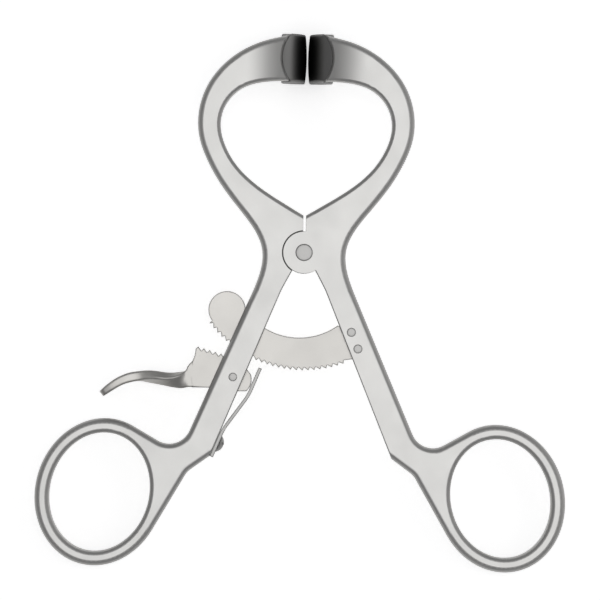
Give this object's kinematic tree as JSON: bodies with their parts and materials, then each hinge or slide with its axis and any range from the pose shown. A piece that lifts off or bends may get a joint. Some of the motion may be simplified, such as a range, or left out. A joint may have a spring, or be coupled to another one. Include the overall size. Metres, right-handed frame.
{
  "type": "mouth gag",
  "caption": "Ring-handled mouth gag: two levers on a lap joint, bite plates bent away at the tips, and a toothed bar held by a sprung pawl lever.",
  "frame": {"origin": "on the pivot axis, at the flat back face of the joint", "axes": "+Z along the pivot axis, away from the bite plates; +Y from the pivot towards the jaws; +X to the side of the half whose joint disc is in front"},
  "size_m": [0.119, 0.1201, 0.0166],
  "materials": {
    "satin_steel": "satin",
    "plate_steel": "satin",
    "bar_steel": "satin",
    "pin_steel": "satin",
    "spring_steel": "bright"
  },
  "bodies": {
    "left_lever": {"left_half": "satin_steel", "left_bite_plate": "plate_steel", "pivot_pin": "pin_steel", "pawl_pin": "pin_steel", "leaf_spring": "spring_steel", "spring_screw": "spring_steel"},
    "right_lever": {"right_half": "satin_steel", "right_bite_plate": "plate_steel", "ratchet_bar": "bar_steel", "bar_rivet_upper": "pin_steel", "bar_rivet_lower": "pin_steel"},
    "pawl": {"pawl_lever": "bar_steel"}
  },
  "joints": [
    {"name": "jaw_hinge", "type": "hinge", "parent": "left_lever", "child": "right_lever", "pos_m": [0, 0, 0.0025], "axis": [0, 0, -1], "range_deg": [0, 37.7]},
    {"name": "pawl_hinge", "type": "hinge", "parent": "left_lever", "child": "pawl", "pos_m": [-0.01547, -0.02813, 0.0025], "axis": [0, 0, -1], "range_deg": [0, 33.7]}
  ]
}
